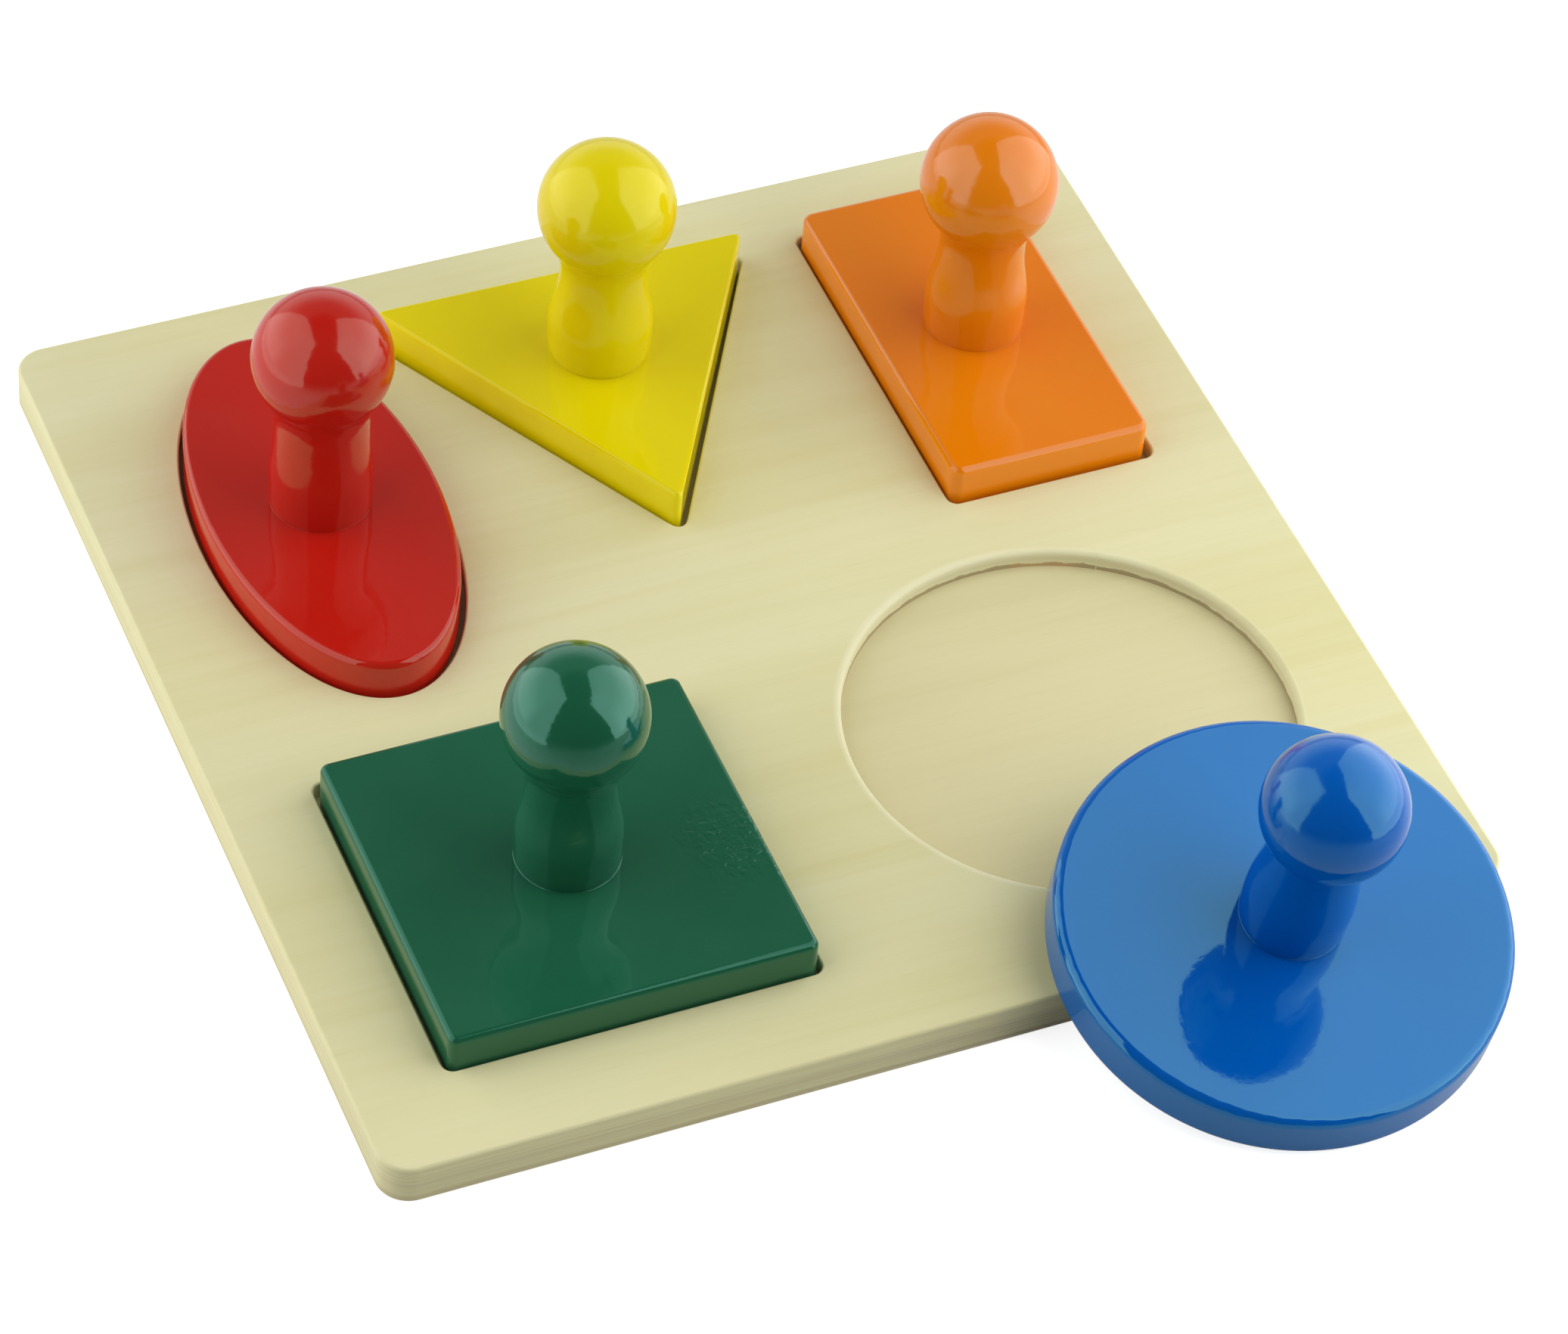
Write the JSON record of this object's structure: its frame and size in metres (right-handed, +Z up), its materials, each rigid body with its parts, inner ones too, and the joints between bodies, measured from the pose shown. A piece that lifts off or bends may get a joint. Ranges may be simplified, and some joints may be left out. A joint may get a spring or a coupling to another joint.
{
  "type": "shape board",
  "caption": "Square wooden shape board: painted plates with ball knobs lift out of matching recesses in a flat plywood tray.",
  "frame": {"origin": "middle of the tray's underside, on the surface it stands on", "axes": "+X to the right along the front edge, +Y from the child's side to the back edge, +Z up"},
  "size_m": [0.3, 0.3612, 0.0932],
  "materials": {
    "birch_plywood": "bare sanded birch plywood",
    "green_enamel": "gloss enamel on wood",
    "red_enamel": "gloss enamel on wood",
    "yellow_enamel": "gloss enamel on wood",
    "orange_enamel": "gloss enamel on wood",
    "blue_enamel": "gloss enamel on wood",
    "zinc_plated_steel": "zinc plated"
  },
  "bodies": {
    "board": {"board_base_sheet": "birch_plywood", "board_top_panel": "birch_plywood"},
    "square_piece": {"square_plate": "green_enamel", "square_knob": "green_enamel", "square_screw": "zinc_plated_steel"},
    "oval_piece": {"oval_plate": "red_enamel", "oval_knob": "red_enamel", "oval_screw": "zinc_plated_steel"},
    "triangle_piece": {"triangle_plate": "yellow_enamel", "triangle_knob": "yellow_enamel", "triangle_screw": "zinc_plated_steel"},
    "rectangle_piece": {"rectangle_plate": "orange_enamel", "rectangle_knob": "orange_enamel", "rectangle_screw": "zinc_plated_steel"},
    "disc_piece": {"disc_plate": "blue_enamel", "disc_knob": "blue_enamel", "disc_screw": "zinc_plated_steel"}
  },
  "joints": [
    {"name": "square_lift", "type": "slide", "parent": "board", "child": "square_piece", "axis": [0, 0, 1], "range_m": [0, 0.08]},
    {"name": "oval_lift", "type": "slide", "parent": "board", "child": "oval_piece", "axis": [0, 0, 1], "range_m": [0, 0.08]},
    {"name": "triangle_lift", "type": "slide", "parent": "board", "child": "triangle_piece", "axis": [0, 0, 1], "range_m": [0, 0.08]},
    {"name": "rectangle_lift", "type": "slide", "parent": "board", "child": "rectangle_piece", "axis": [0, 0, 1], "range_m": [0, 0.08]},
    {"name": "disc_lift", "type": "slide", "parent": "board", "child": "disc_piece", "axis": [0, 0, 1], "range_m": [0, 0.08]}
  ]
}
